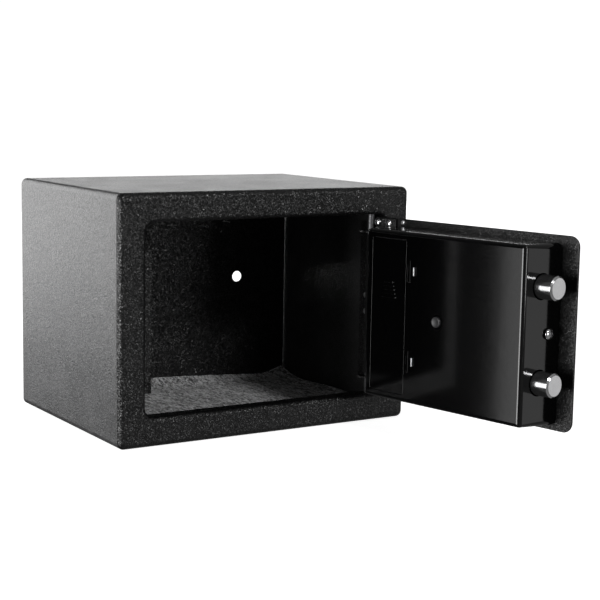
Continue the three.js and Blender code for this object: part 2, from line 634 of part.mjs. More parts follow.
function knobBezel() {
  const inner = KNOB.shaft + CLEAR + 0.4;
  const profile = [[inner, -6.3], [19.5, -6.3], [19.5, -7.4], [18.8, -8.1], [inner, -8.1], [inner, -6.3]];
  return alongY(turned(profile, 32), -KNOB.u, KNOB.z);
}

add(door, "lock_case", lockCase(), steel);
add(door, "solenoid", solenoid(), steel);
add(door, "solenoid_plunger", plunger(), chrome);
add(door, "bolt_carriage", boltCarriage(), steel);
add(door, "bolt_lower", bolt(BOLT.z[0]), chrome);
add(door, "bolt_upper", bolt(BOLT.z[1]), chrome);
add(door, "knob_shaft", knobShaft(), steel);
add(door, "knob_bezel", knobBezel(), chrome);
add(door, "knob", knob(), blackPlastic);

// ---------------------------------------------------------------- override key lock
const CYLINDER = { flange: 11, front: -8.5, back: 14 };

function lockCylinder() {
  const bore = KEYLOCK.plug + CLEAR;
  const profile = [
    [bore, CYLINDER.front],
    [CYLINDER.flange - 0.7, CYLINDER.front],
    [CYLINDER.flange, CYLINDER.front + 0.7],
    [CYLINDER.flange, PLATE.w0 - GAP],
    [KEYLOCK.body, PLATE.w0 - GAP],
    [KEYLOCK.body, CYLINDER.back],
    [bore, CYLINDER.back],
    [bore, CYLINDER.front],
  ];
  return alongY(turned(profile, 24), -KEYLOCK.u, KEYLOCK.z);
}

function keyPlug() {
  const turning = rod(KEYLOCK.plug, CYLINDER.front - 0.3, CYLINDER.back + 0.7, 20);
  const body = alongY(turning, -KEYLOCK.u, KEYLOCK.z);
  const keyway = doorBox(KEYLOCK.u - 0.8, KEYLOCK.u + 0.8, -12, 2, KEYLOCK.z - 3.4, KEYLOCK.z + 3.4);
  return cut(body, keyway);
}

// The arm on the plug's tail, which frees the bolts when the key is turned.
function keyCam() {
  const arm = new THREE.Shape();
  arm.absarc(-KEYLOCK.u, KEYLOCK.z, 5.5, Math.PI, 2 * Math.PI, false);
  arm.absarc(-KEYLOCK.u, KEYLOCK.z + 8, 3, 0, Math.PI, false);
  return slab(arm, CYLINDER.back + 1, CYLINDER.back + 3, 8);
}

add(door, "lock_cylinder", lockCylinder(), chrome);
add(door, "key_plug", keyPlug(), brass);
add(door, "key_cam", keyCam(), steel);

export default safe;
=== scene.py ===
"""Looks for a small electronic safe with its door open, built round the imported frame. Metres."""

import json
import math

import bmesh
import bpy
from mathutils import Matrix, Vector, noise


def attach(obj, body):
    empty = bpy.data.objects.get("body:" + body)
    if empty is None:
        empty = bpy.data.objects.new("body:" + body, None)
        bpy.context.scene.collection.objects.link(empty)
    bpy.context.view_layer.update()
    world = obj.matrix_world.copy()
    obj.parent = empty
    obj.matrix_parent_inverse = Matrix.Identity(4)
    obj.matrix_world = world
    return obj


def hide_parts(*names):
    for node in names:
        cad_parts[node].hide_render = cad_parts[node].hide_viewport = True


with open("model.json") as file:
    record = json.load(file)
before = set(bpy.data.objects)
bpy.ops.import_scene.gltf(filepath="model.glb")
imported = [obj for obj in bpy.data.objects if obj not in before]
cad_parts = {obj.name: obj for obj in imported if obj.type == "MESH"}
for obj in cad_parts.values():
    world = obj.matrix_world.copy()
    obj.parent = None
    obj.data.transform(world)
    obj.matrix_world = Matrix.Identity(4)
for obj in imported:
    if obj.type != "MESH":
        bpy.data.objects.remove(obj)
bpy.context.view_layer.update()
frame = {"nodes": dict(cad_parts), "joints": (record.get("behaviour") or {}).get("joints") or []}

MM = 0.001
joints = {row["name"]: row for row in frame["joints"]}
hinge = Vector(joints["door_swing"]["pos_m"])
along = Vector(joints["bolt_throw"]["axis"])  # u, from the hinge to the door's free edge
inward = Vector(joints["battery_lid_lift"]["axis"])  # w, into the case when the door is shut
CASE = Matrix.Identity(4)
# The door's own frame: local x is -u, local y is w, local z is up, and its origin is the hinge axis.
DOOR = Matrix((
    (-along.x, inward.x, 0, hinge.x),
    (-along.y, inward.y, 0, hinge.y),
    (0, 0, 1, 0),
    (0, 0, 0, 1),
))


def span(node, place=CASE):
    """The lowest and highest corner of a CAD node, in the case's or the door's frame."""
    back = place.inverted()
    points = [back @ v.co for v in frame["nodes"][node].data.vertices]
    low = Vector([min(p[i] for p in points) for i in range(3)])
    high = Vector([max(p[i] for p in points) for i in range(3)])
    return low, high


# ---------------------------------------------------------------- camera, world and lights
CAMERA = {"azimuth": 32.14, "elevation": 8.06, "roll": 1.0, "lens": 88.6}
CAMERA_PLACE = Vector((-0.5207, -0.9509, 0.2374))


def make_camera():
    data = bpy.data.cameras.new("camera")
    data.lens = CAMERA["lens"]
    data.sensor_width = 36
    data.clip_start = 0.01
    camera = bpy.data.objects.new("camera", data)
    bpy.context.scene.collection.objects.link(camera)
    az = math.radians(CAMERA["azimuth"])
    el = math.radians(CAMERA["elevation"])
    roll = math.radians(CAMERA["roll"])
    ahead = Vector((math.sin(az) * math.cos(el), math.cos(az) * math.cos(el), -math.sin(el)))
    level = Vector((math.cos(az), -math.sin(az), 0))
    above = level.cross(ahead)
    right = math.cos(roll) * level + math.sin(roll) * above
    top = math.cos(roll) * above - math.sin(roll) * level
    turn = Matrix((right, top, -ahead)).transposed().to_4x4()
    camera.matrix_world = Matrix.Translation(CAMERA_PLACE) @ turn
    bpy.context.scene.camera = camera


def make_world():
    """White for the camera; for the surfaces, a dim room, darkest behind and to the left."""
    world = bpy.data.worlds.new("studio")
    bpy.context.scene.world = world
    world.use_nodes = True
    tree = world.node_tree
    tree.nodes.clear()
    out = tree.nodes.new("ShaderNodeOutputWorld")
    coords = tree.nodes.new("ShaderNodeTexCoord")
    toward = vector_math(tree, "DOT_PRODUCT")
    toward.inputs[1].default_value = Vector((0.8, -0.6, 0.1)).normalized()
    tree.links.new(coords.outputs["Generated"], toward.inputs[0])
    dim = ranged(tree, toward.outputs["Value"], 0.03, 0.2, -0.9, 0.4)
    room = tree.nodes.new("ShaderNodeBackground")
    room.inputs["Color"].default_value = (1, 1, 1, 1)
    tree.links.new(dim, room.inputs["Strength"])
    white = tree.nodes.new("ShaderNodeBackground")
    white.inputs["Color"].default_value = (1, 1, 1, 1)
    white.inputs["Strength"].default_value = 1.05
    path = tree.nodes.new("ShaderNodeLightPath")
    mix = tree.nodes.new("ShaderNodeMixShader")
    tree.links.new(path.outputs["Is Camera Ray"], mix.inputs["Fac"])
    tree.links.new(room.outputs["Background"], mix.inputs[1])
    tree.links.new(white.outputs["Background"], mix.inputs[2])
    tree.links.new(mix.outputs["Shader"], out.inputs["Surface"])


def softbox(name, place, target, width, height, radiance):
    """A rectangular light whose face has the given radiance, aimed at a point."""
    data = bpy.data.lights.new(name, "AREA")
    data.shape = "RECTANGLE"
    data.size = width
    data.size_y = height
    data.energy = radiance * math.pi * width * height
    light = bpy.data.objects.new(name, data)
    bpy.context.scene.collection.objects.link(light)
    place = Vector(place)
    aim = (Vector(target) - place).to_track_quat("-Z", "Y")
    light.matrix_world = Matrix.Translation(place) @ aim.to_matrix().to_4x4()
    light.visible_camera = False


def make_lights():
    """Large soft panels: each is what one face of the safe mirrors, with dark gaps between them."""
    softbox("side_panel", (-0.75, 2.0, 0.42), (-0.115, 0, 0.08), 1.7, 1.45, 3.15)
    softbox("roll_panel", (-1.4, 1.18, 0.25), (-0.115, -0.085, 0.085), 0.4, 0.9, 3.0)
    softbox("cover_panel", (-0.69, -0.008, 0.03), (0.08, -0.22, 0.09), 0.34, 0.5, 1.45)
    softbox("front_left", (-1.6, -0.25, 0.05), (-0.1, -0.085, 0.085), 0.8, 0.9, 9.0)
    softbox("top_panel", (1.3, 1.75, 0.42), (0, 0, 0.17), 1.6, 0.46, 2.3)
    softbox("bolt_panel", (1.8, -1.15, -0.15), (0.11, -0.26, 0.09), 0.9, 0.9, 0.52)
    softbox("front_panel", (0.45, -2.4, 0.1), (-0.05, -0.085, 0.085), 0.5, 0.6, 7.0)
    softbox("key", (0.13, -1.6, 1.15), (-0.03, 0, 0.03), 0.3, 0.3, 38.0)


def make_floor():
    """A plain white floor under the safe. It takes the safe's shadow but isn't mirrored in it."""
    bm = bmesh.new()
    bmesh.ops.create_grid(bm, x_segments=1, y_segments=1, size=1.7)
    mesh = bpy.data.meshes.new("floor")
    bm.to_mesh(mesh)
    bm.free()
    floor = bpy.data.objects.new("floor", mesh)
    floor.location = (0, 0, -0.5 * MM)
    bpy.context.scene.collection.objects.link(floor)
    material, tree, shader = principled("floor", (0.8, 0.8, 0.8), 0.9)
    haze = noise_of(tree, object_coords(tree), 0.6, 2, 0.5)
    tree.links.new(blended(tree, haze, (0.79, 0.79, 0.79), (0.81, 0.81, 0.81)), shader.inputs["Base Color"])
    shader.inputs["Specular IOR Level"].default_value = 0.1
    shader.inputs["Emission Color"].default_value = (1, 1, 1, 1)
    shader.inputs["Emission Strength"].default_value = 0.9
    mesh.materials.append(material)
    floor.visible_diffuse = False
    floor.visible_glossy = False
    floor.visible_shadow = False


# ---------------------------------------------------------------- material helpers
def principled(name, colour, roughness, metallic=0.0):
    material = bpy.data.materials.new(name)
    material.use_nodes = True
    tree = material.node_tree
    shader = tree.nodes["Principled BSDF"]
    shader.inputs["Base Color"].default_value = (*colour, 1)
    shader.inputs["Roughness"].default_value = roughness
    shader.inputs["Metallic"].default_value = metallic
    return material, tree, shader


def object_coords(tree, stretch=(1, 1, 1)):
    coords = tree.nodes.new("ShaderNodeTexCoord")
    mapping = tree.nodes.new("ShaderNodeMapping")
    mapping.inputs["Scale"].default_value = stretch
    tree.links.new(coords.outputs["Object"], mapping.inputs["Vector"])
    return mapping.outputs["Vector"]


def noise_of(tree, coords, size, detail=3.0, roughness=0.5, distortion=0.0):
    """Noise whose features are about size metres across."""
    node = tree.nodes.new("ShaderNodeTexNoise")
    node.inputs["Scale"].default_value = 1 / size
    node.inputs["Detail"].default_value = detail
    node.inputs["Roughness"].default_value = roughness
    node.inputs["Distortion"].default_value = distortion
    tree.links.new(coords, node.inputs["Vector"])
    return node.outputs["Fac"]


def cell_edges(tree, coords, size):
    """Distance to the edge of cells about size metres across."""
    node = tree.nodes.new("ShaderNodeTexVoronoi")
    node.feature = "DISTANCE_TO_EDGE"
    node.inputs["Scale"].default_value = 1 / size
    tree.links.new(coords, node.inputs["Vector"])
    return node.outputs["Distance"]


def vector_math(tree, operation):
    node = tree.nodes.new("ShaderNodeVectorMath")
    node.operation = operation
    return node


def ranged(tree, value, low, high, from_low=0.0, from_high=1.0):
    node = tree.nodes.new("ShaderNodeMapRange")
    node.inputs["From Min"].default_value = from_low
    node.inputs["From Max"].default_value = from_high
    node.inputs["To Min"].default_value = low
    node.inputs["To Max"].default_value = high
    tree.links.new(value, node.inputs["Value"])
    return node.outputs["Result"]


def combined(tree, operation, a, b):
    node = tree.nodes.new("ShaderNodeMath")
    node.operation = operation
    for socket, value in zip(node.inputs, (a, b)):
        if isinstance(value, (int, float)):
            socket.default_value = value
        else:
            tree.links.new(value, socket)
    return node.outputs["Value"]


def bump(tree, shader, height, distance, strength=1.0):
    """Bump on a shader, after any bump already on it."""
    node = tree.nodes.new("ShaderNodeBump")
    node.inputs["Strength"].default_value = strength
    node.inputs["Distance"].default_value = distance
    tree.links.new(height, node.inputs["Height"])
    normal = shader.inputs["Normal"]
    if normal.links:
        tree.links.new(normal.links[0].from_socket, node.inputs["Normal"])
    tree.links.new(node.outputs["Normal"], normal)


def glitter(tree, shader, coords, size, tilt):
    """Tips the normal one way or another from grain to grain, so that single grains flash."""
    grains = tree.nodes.new("ShaderNodeTexVoronoi")
    grains.inputs["Scale"].default_value = 1 / size
    tree.links.new(coords, grains.inputs["Vector"])
    centred = vector_math(tree, "SUBTRACT")
    centred.inputs[1].default_value = (0.5, 0.5, 0.5)
    tree.links.new(grains.outputs["Color"], centred.inputs[0])
    scaled = vector_math(tree, "SCALE")
    scaled.inputs["Scale"].default_value = 2 * tilt
    tree.links.new(centred.outputs["Vector"], scaled.inputs[0])
    added = vector_math(tree, "ADD")
    tree.links.new(scaled.outputs["Vector"], added.inputs[0])
    normal = shader.inputs["Normal"]
    if normal.links:
        tree.links.new(normal.links[0].from_socket, added.inputs[1])
    else:
        surface = tree.nodes.new("ShaderNodeNewGeometry")
        tree.links.new(surface.outputs["Normal"], added.inputs[1])
    unit = vector_math(tree, "NORMALIZE")
    tree.links.new(added.outputs["Vector"], unit.inputs[0])
    tree.links.new(unit.outputs["Vector"], normal)


def blended(tree, factor, dark, light):
    """A colour that runs from dark to light with factor."""
    ramp = tree.nodes.new("ShaderNodeValToRGB")
    ramp.color_ramp.elements[0].color = (*dark, 1)
    ramp.color_ramp.elements[1].color = (*light, 1)
    tree.links.new(factor, ramp.inputs["Fac"])
    return ramp.outputs["Color"]


# ---------------------------------------------------------------- materials
def hammered_paint(name, dark, light, size, tilt):
    """Textured powder coat: small grains tipped every way, and paler, smoother tips."""
    material, tree, shader = principled(name, dark, 0.4)
    coords = object_coords(tree)
    grain = noise_of(tree, coords, size, 2, 0.6)
    tips = ranged(tree, grain, 0.0, 1.0, 0.5, 0.7)
    tree.links.new(blended(tree, tips, dark, light), shader.inputs["Base Color"])
    tree.links.new(ranged(tree, tips, 0.38, 0.24), shader.inputs["Roughness"])
    tree.links.new(ranged(tree, tips, 0.35, 0.9), shader.inputs["Specular IOR Level"])
    glitter(tree, shader, coords, 0.8 * size, tilt)
    return material


def satin_paint(name, colour, light):
    """The finer coat outside the case: orange peel, and a faint leather grain."""
    material, tree, shader = principled(name, colour, 0.42)
    coords = object_coords(tree)
    cloud = noise_of(tree, coords, 0.03, 4, 0.55)
    peel = noise_of(tree, object_coords(tree, (1, 1, 1.6)), 0.0016, 3, 0.6)
    tone = combined(tree, "ADD", cloud, combined(tree, "MULTIPLY", peel, 1.2))
    spread = ranged(tree, tone, 0.0, 1.0, 0.85, 1.35)
    tree.links.new(blended(tree, spread, colour, light), shader.inputs["Base Color"])
    tree.links.new(ranged(tree, tone, 0.31, 0.4, 0.8, 1.4), shader.inputs["Roughness"])
    bump(tree, shader, peel, 0.0004, 0.5)
    glitter(tree, shader, coords, PAINT_GRAIN, 0.06)
    return material


def glossy_plastic(name, colour, roughness=0.1):
    """Moulded gloss: a slow ripple and a faint haze of dust."""
    material, tree, shader = principled(name, colour, roughness)
    coords = object_coords(tree)
    ripple = noise_of(tree, coords, 0.014, 2, 0.4)
    bump(tree, shader, ripple, 0.00006, 0.25)
    dust = noise_of(tree, coords, 0.0012, 3, 0.7)
    haze = ranged(tree, dust, roughness - 0.02, roughness + 0.03, 0.4, 0.75)
    tree.links.new(haze, shader.inputs["Roughness"])
    return material


def moulded_plastic(name, colour, light, roughness=0.42):
    """Spark-eroded satin plastic."""
    material, tree, shader = principled(name, colour, roughness)
    coords = object_coords(tree)
    grain = noise_of(tree, coords, 0.0004, 4, 0.65)
    tree.links.new(blended(tree, grain, colour, light), shader.inputs["Base Color"])
    wear = ranged(tree, grain, roughness - 0.08, roughness + 0.12, 0.3, 0.7)
    tree.links.new(wear, shader.inputs["Roughness"])
    bump(tree, shader, grain, 0.00004, 0.5)
    return material


def plated(name, colour, roughness, streak=0.0, axis=(1, 1, 1)):
    """Bright plating with faint polishing marks drawn out along an axis."""
    material, tree, shader = principled(name, colour, roughness, 1.0)
    coords = object_coords(tree, axis)
    marks = noise_of(tree, coords, 0.0007, 4, 0.6)
    cloud = noise_of(tree, object_coords(tree), 0.006, 3, 0.5)
    dark = tuple(0.82 * c for c in colour)
    tree.links.new(blended(tree, cloud, dark, colour), shader.inputs["Base Color"])
    wear = ranged(tree, marks, roughness * 0.7, roughness * 1.5, 0.25, 0.75)
    tree.links.new(wear, shader.inputs["Roughness"])
    bump(tree, shader, marks, 0.00002, streak)
    return material


def needled_felt(name):
    """Grey felt: matted fibres, darker and lighter flecks, a soft sheen."""
    material, tree, shader = principled(name, (0.2, 0.2, 0.2), 0.95)
    coords = object_coords(tree, (1, 0.35, 1))
    flecks = noise_of(tree, coords, 0.0035, 3, 0.8, 0.5)
    fibres = noise_of(tree, coords, 0.0013, 2, 0.7, 0.4)
    mixed = combined(tree, "MULTIPLY", combined(tree, "ADD", flecks, fibres), 0.5)
    spread = ranged(tree, mixed, 0.0, 1.0, 0.42, 0.58)
    grey = blended(tree, spread, (0.035, 0.035, 0.036), (0.9, 0.9, 0.91))
    tree.links.new(grey, shader.inputs["Base Color"])
    shader.inputs["Sheen Weight"].default_value = 0.35
    shader.inputs["Sheen Roughness"].default_value = 0.5
    shader.inputs["Specular IOR Level"].default_value = 0.2
    bump(tree, shader, mixed, 0.0012, 1.0)
    return material


def solder_mask(name):
    """Green board with paler copper runs under the lacquer."""
    material, tree, shader = principled(name, (0.01, 0.1, 0.035), 0.3)
    coords = object_coords(tree, (1, 1, 3))
    runs = cell_edges(tree, coords, 0.004)
    track = ranged(tree, runs, 1.0, 0.0, 0.03, 0.06)
    green = blended(tree, track, (0.008, 0.085, 0.03), (0.03, 0.22, 0.08))
    tree.links.new(green, shader.inputs["Base Color"])
    bump(tree, shader, track, 0.00003, 0.6)
    return material


def foil_wrap(name):
    """A cell's printed foil: dark blue body with slight crinkles."""
    material, tree, shader = principled(name, (0.02, 0.05, 0.16), 0.25, 0.55)
    coords = object_coords(tree)
    crinkle = noise_of(tree, coords, 0.003, 3, 0.5)
    blue = blended(tree, crinkle, (0.012, 0.035, 0.12), (0.03, 0.075, 0.22))
    tree.links.new(blue, shader.inputs["Base Color"])
    bump(tree, shader, crinkle, 0.00005, 0.4)
    return material


PAINT_GRAIN = 0.0008


def make_materials():
    return {
        "case_paint": satin_paint("case_paint", (0.02, 0.02, 0.0205), (0.055, 0.055, 0.056)),
        "hammered": hammered_paint(
            "hammered", (0.0015, 0.0015, 0.0016), (0.012, 0.012, 0.0123), PAINT_GRAIN, 0.3
        ),
        # A darker copy of the hammered coat for the door plate: its darker grains are painted shade,
        # standing for the plate lying in shadow; the gentler glitter is only bump.
        "door_paint_painted_shade": hammered_paint(
            "door_paint_painted_shade", (0.001, 0.001, 0.0011), (0.006, 0.006, 0.0062), PAINT_GRAIN, 0.1
        ),
        "gloss": glossy_plastic("gloss", (0.0008, 0.0008, 0.0009)),
        "plastic": moulded_plastic("plastic", (0.01, 0.01, 0.011), (0.022, 0.022, 0.024)),
        "chrome": plated("chrome", (0.86, 0.86, 0.87), 0.14, 0.25, (1, 1, 6)),
        "turned_face": plated("turned_face", (0.82, 0.82, 0.83), 0.3, 0.5, (3, 3, 1)),
        # A copy of the zinc darkened for the hinge pins and lugs: painted shade, standing for the shadow
        # they sit in.
        "zinc_painted_shade": plated("zinc_painted_shade", (0.16, 0.16, 0.165), 0.45, 0.4, (1, 1, 3)),
        "zinc": plated("zinc", (0.56, 0.56, 0.57), 0.34, 0.4, (1, 1, 3)),
        "brass": plated("brass", (0.72, 0.55, 0.25), 0.26, 0.4, (1, 1, 4)),
        "felt": needled_felt("felt"),
        "board": solder_mask("board"),
        "key": moulded_plastic("key", (0.46, 0.46, 0.47), (0.56, 0.56, 0.57), 0.38),
        "ink": moulded_plastic("ink", (0.012, 0.012, 0.013), (0.02, 0.02, 0.02), 0.5),
        "wrap": foil_wrap("wrap"),
        "red": glossy_plastic("red", (0.35, 0.012, 0.01), 0.22),
        "yellow": glossy_plastic("yellow", (0.6, 0.34, 0.02), 0.12),
        "green": glossy_plastic("green", (0.02, 0.26, 0.05), 0.12),
    }


# ---------------------------------------------------------------- mesh helpers
def rounded(x0, x1, z0, z1, corner, y, inset=0.0, steps=8):
    """Points of a rounded rectangle in the plane at y, drawn in by inset."""
    r = max(corner - inset, 0.0001)
    centres = (
        (x1 - inset - r, z1 - inset - r),
        (x0 + inset + r, z1 - inset - r),
        (x0 + inset + r, z0 + inset + r),
        (x1 - inset - r, z0 + inset + r),
    )
    points = []
    for quarter, (cx, cz) in enumerate(centres):
        for i in range(steps + 1):
            a = (quarter + i / steps) * math.pi / 2
            points.append(Vector((cx + r * math.cos(a), y, cz + r * math.sin(a))))
    return points


def skin(rings, loop=False):
    """A closed surface through rings of equally many points: a loop of rings, or one with flat ends."""
    bm = bmesh.new()
    rows = [[bm.verts.new(p) for p in ring] for ring in rings]
    pairs = list(zip(rows, rows[1:]))
    if loop:
        pairs.append((rows[-1], rows[0]))
    for a, b in pairs:
        for i in range(len(a)):
            j = (i + 1) % len(a)
            bm.faces.new((a[i], a[j], b[j], b[i]))
    if not loop:
        bm.faces.new(rows[0])
        bm.faces.new(reversed(rows[-1]))
    bmesh.ops.recalc_face_normals(bm, faces=bm.faces)
    return bm


def quarter_round(y0, radius, direction, inset=0.0, steps=6):
    """(y, inset) pairs of a rounded edge that starts on the face at y0."""
    pairs = []
    for i in range(steps + 1):
        a = i / steps * math.pi / 2
        pairs.append((y0 + direction * radius * (1 - math.cos(a)), inset + radius * (1 - math.sin(a))))
    return pairs


def panel(outline, pairs, steps=8):
    """A solid through one rounded outline's (y, inset) pairs."""
    return skin([rounded(*outline, y, inset, steps) for y, inset in pairs])


def lathe(profile, steps=48):
    """A turned solid about y through (radius, height) points; a radius of 0 closes it on the axis."""
    bm = bmesh.new()
    rows = []
    for r, h in profile:
        if r == 0:
            rows.append([bm.verts.new((0, h, 0))])
            continue
        turns = [2 * math.pi * i / steps for i in range(steps)]
        rows.append([bm.verts.new((r * math.cos(a), h, r * math.sin(a))) for a in turns])
    pairs = list(zip(rows, rows[1:]))
    if len(rows[0]) > 1 and len(rows[-1]) > 1:
        pairs.append((rows[-1], rows[0]))
    for a, b in pairs:
        for i in range(steps):
            j = (i + 1) % steps
            if len(a) == 1:
                bm.faces.new((a[0], b[j], b[i]))
            elif len(b) == 1:
                bm.faces.new((a[i], a[j], b[0]))
            else:
                bm.faces.new((a[i], a[j], b[j], b[i]))
    bmesh.ops.recalc_face_normals(bm, faces=bm.faces)
    return bm


def rod(radius, start, end, steps=48):
    """A plain cylinder between two heights, for cutting holes."""
    return lathe([(0, start), (radius, start), (radius, end), (0, end)], steps)


def block(low, high, bevel, segments=3):
    """A box between two corners with all its edges rounded."""
    bm = bmesh.new()
    bmesh.ops.create_cube(bm, size=1)
    low, high = Vector(low), Vector(high)
    size = high - low
    bmesh.ops.scale(bm, vec=size, verts=bm.verts)
    bmesh.ops.translate(bm, vec=(low + high) / 2, verts=bm.verts)
    offset = min(bevel, 0.45 * min(size))
    bmesh.ops.bevel(bm, geom=bm.edges[:], offset=offset, segments=segments, affect="EDGES", profile=0.5)
    return bm


def moved(bm, place):
    bmesh.ops.transform(bm, matrix=place, verts=bm.verts)
    return bm


def along_x(bm, y, z):
    """Turns a solid about y so that its heights run along +x."""
    return moved(bm, Matrix.Translation((0, y, z)) @ Matrix.Rotation(-math.pi / 2, 4, "Z"))


def along_u(bm, w, z):
    """Turns a solid about y so that its heights are values of u in the door's frame."""
    return moved(bm, Matrix.Translation((0, w, z)) @ Matrix.Rotation(math.pi / 2, 4, "Z"))


def along_z(bm, x, y):
    return moved(bm, Matrix.Translation((x, y, 0)) @ Matrix.Rotation(math.pi / 2, 4, "X"))


def along_y(bm, x, z):
    return moved(bm, Matrix.Translation((x, 0, z)))


def joined(parts):
    """Several solids as one mesh, each kept closed."""
    whole = bmesh.new()
    for part in parts:
        mesh = bpy.data.meshes.new("part")
        part.to_mesh(mesh)
        whole.from_mesh(mesh)
        bpy.data.meshes.remove(mesh)
        part.free()
    return whole


def loose_object(bm, name="cutter"):
    mesh = bpy.data.meshes.new(name)
    bm.to_mesh(mesh)
    bm.free()
    obj = bpy.data.objects.new(name, mesh)
    bpy.context.scene.collection.objects.link(obj)
    return obj


def carved(bm, cutters, operation="DIFFERENCE"):
    """A solid less (or with) other solids, one exact boolean after another."""
    target = loose_object(bm, "carving")
    tools = [loose_object(cutter) for cutter in cutters]
    for tool in tools:
        step = target.modifiers.new("step", "BOOLEAN")
        step.operation = operation
        step.solver = "EXACT"
        step.object = tool
    graph = bpy.context.evaluated_depsgraph_get()
    result = bmesh.new()
    mesh = bpy.data.meshes.new_from_object(target.evaluated_get(graph))
    result.from_mesh(mesh)
    bpy.data.meshes.remove(mesh)
    for obj in [target, *tools]:
        data = obj.data
        bpy.data.objects.remove(obj)
        bpy.data.meshes.remove(data)
    bmesh.ops.remove_doubles(result, verts=result.verts, dist=0.000002)
    bmesh.ops.dissolve_degenerate(result, dist=0.000001, edges=result.edges)
    return result


def piece(name, bm, body, look, nodes=(), place=CASE, smooth=32):
    """Puts a finished mesh in the scene on its body, with smooth faces between edges sharper than smooth."""
    mesh = bpy.data.meshes.new(name)
    bm.to_mesh(mesh)
    bm.free()
    mesh.transform(place)
    mesh.shade_smooth()
    mesh.set_sharp_from_angle(angle=math.radians(smooth))
    obj = bpy.data.objects.new(name, mesh)
    bpy.context.scene.collection.objects.link(obj)
    mesh.materials.append(looks[look])
    if smooth < 60:
        flat_faces = obj.modifiers.new("flat_faces", "WEIGHTED_NORMAL")
        flat_faces.keep_sharp = True
    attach(obj, body)
    if nodes:
        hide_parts(*nodes)
    return obj


# ---------------------------------------------------------------- case
SHEET = 2 * MM
WALL = 1.5 * MM
CASE_CORNER = 4.5 * MM
MOUTH = (-95.5 * MM, 95.5 * MM, 20 * MM, 150.5 * MM, 7 * MM)
LIP = 3 * MM
ROLL = 4 * MM
SHORT_RETURN = 12 * MM


def case_shell():
    low, high = span("case_shell")
    outline = (low.x, high.x, low.z, high.z, CASE_CORNER)
    edge = 0.3 * MM
    lip = 0.7 * MM
    pairs = quarter_round(low.y, lip, 1, steps=4)
    pairs += [
        (high.y - edge, 0),
        (high.y, edge),
        (high.y, WALL - edge),
        (high.y - edge, WALL),
        (low.y + edge, WALL),
        (low.y, WALL - edge),
    ]
    rings = [rounded(*outline, y, inset, 10) for y, inset in pairs]
    piece("case_shell_skin", skin(rings, loop=True), "case", "case_paint", ["case_shell"])


ANCHOR_X = 68.5 * MM
ANCHOR_Z = 87.5 * MM
ANCHOR_RADIUS = 4.35 * MM


def back_panel():
    low, high = span("back_panel")
    edge = 0.25 * MM
    pairs = [(low.y, edge), (low.y + edge, 0), (high.y - edge, 0), (high.y, edge)]
    plate = panel((low.x, high.x, low.z, high.z, 2.7 * MM), pairs)
    radius, rim = ANCHOR_RADIUS, 0.35 * MM
    hole = [
        (0, low.y - 1 * MM),
        (radius + rim, low.y - 1 * MM),
        (radius + rim, low.y),
        (radius, low.y + rim),
        (radius, high.y - rim),
        (radius + rim, high.y),
        (radius + rim, high.y + 1 * MM),
        (0, high.y + 1 * MM),
    ]
    holes = [along_y(lathe(hole, 40), x, ANCHOR_Z) for x in (-ANCHOR_X, ANCHOR_X)]
    piece("back_panel_skin", carved(plate, holes), "case", "hammered", ["back_panel"])


def front_frame():
    """The front plate with its rolled outer edge, rolled mouth and the returns behind the mouth."""
    low, high = span("front_frame")
    outline = (low.x, high.x, low.z, high.z, CASE_CORNER)
    front = low.y
    flange = front + 4.5 * MM
    plate_back = front + SHEET
    deep = high.y
    edge = 0.25 * MM

    def return_ring(outset, setback):
        """A ring at the returns' free edge: deep on the two sides, shallow above and below."""
        ring = rounded(*MOUTH, 0, -outset, 10)
        reach = MOUTH[1] + outset
        for point in ring:
            side = abs(abs(point.x) - reach) < 1e-7
            point.y = (deep if side else front + SHORT_RETURN) - setback
        return ring

    rings = [
        rounded(*outline, plate_back, SHEET, 10),
        rounded(*outline, flange - edge, SHEET, 10),
        rounded(*outline, flange, SHEET - edge, 10),
        rounded(*outline, flange, 1.2 * MM, 10),
        rounded(*outline, flange - 0.25 * MM, 1.0 * MM, 10),
        rounded(*outline, flange - 0.45 * MM, 0.3 * MM, 10),
    ]
    roll = quarter_round(front, ROLL, 1, steps=8)
    rings += [rounded(*outline, y, inset, 10) for y, inset in reversed(roll)]
    lip = quarter_round(front, LIP, 1, steps=8)
    rings += [rounded(*MOUTH, y, -inset, 10) for y, inset in lip]
    rings += [
        return_ring(0, edge),
        return_ring(edge, 0),
        return_ring(SHEET - edge, 0),
        return_ring(SHEET, edge),
        rounded(*MOUTH, plate_back + edge, -SHEET, 10),
        rounded(*MOUTH, plate_back, -SHEET - edge, 10),
    ]
    # The lip starts outside the mouth, so its insets are given as growth and shrink to nothing.
    body = skin(rings, loop=True)
    holes = []
    for node in ("bolt_lower", "bolt_upper"):
        b_low, b_high = span(node, DOOR)
        z = (b_low.z + b_high.z) / 2
        y = hinge.y + (b_low.y + b_high.y) / 2
        r = (b_high.z - b_low.z) / 2 + 1 * MM
        holes.append(along_x(rod(r, -0.1, -0.092), y, z))
    r = 2.9 * MM
    pin = rod(r, 0.01, 0.16, 24)
    holes.append(along_z(pin, hinge.x, hinge.y))
    piece("front_frame_skin", carved(body, holes), "case", "hammered", ["front_frame"])


def bolt_guard():
    low, high = span("bolt_guard")
    t = 1.5 * MM
    bend = 2.2 * MM
    inner = bend - t
    centre = (low.x + bend, low.y + bend)
    outline = [(high.x, low.y), (high.x, low.y + t)]
    for i in range(7):
        a = 1.5 * math.pi - i / 6 * math.pi / 2
        outline.append((centre[0] + inner * math.cos(a), centre[1] + inner * math.sin(a)))
    outline += [(low.x + t, high.y), (low.x, high.y)]
    for i in range(9):
        a = math.pi + i / 8 * math.pi / 2
        outline.append((centre[0] + bend * math.cos(a), centre[1] + bend * math.sin(a)))
    edge = 0.25 * MM
    levels = (low.z, low.z + edge, high.z - edge, high.z)
    bm = skin([[Vector((x, y, z)) for x, y in outline] for z in levels])
    piece("bolt_guard_blade", bm, "case", "hammered", ["bolt_guard"])


